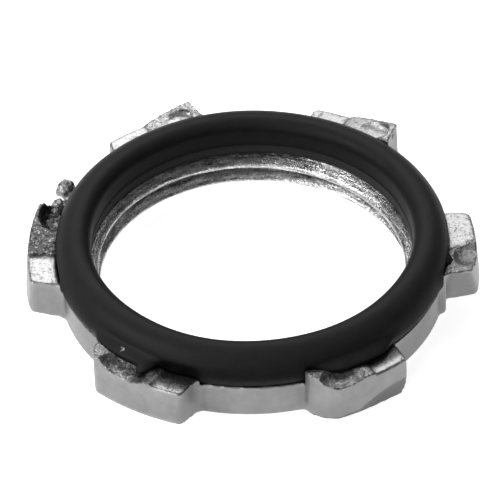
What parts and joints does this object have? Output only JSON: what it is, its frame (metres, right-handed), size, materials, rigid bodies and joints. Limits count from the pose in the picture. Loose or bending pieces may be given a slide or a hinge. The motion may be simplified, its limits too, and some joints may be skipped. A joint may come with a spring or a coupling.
{
  "type": "sealing conduit locknut",
  "caption": "Cast zinc conduit locknut: a threaded ring with toothed lugs round its edge and a soft black sealing ring moulded on its top face, to clamp and seal a conduit at an enclosure wall.",
  "frame": {"origin": "on the thread axis, at the underside of the nut", "axes": "+Z along the thread axis, from the underside towards the sealing ring; the middle of one lug lies on +X"},
  "size_m": [0.0456, 0.043, 0.0077],
  "materials": {
    "zinc_casting": "bright zinc-plated casting, satin on the walls and shiny on the lugs' tops",
    "sealing_ring_pvc": "smooth satin, moulded"
  },
  "bodies": {
    "root": {"locknut_body": "zinc_casting", "sealing_ring": "sealing_ring_pvc"}
  },
  "joints": []
}
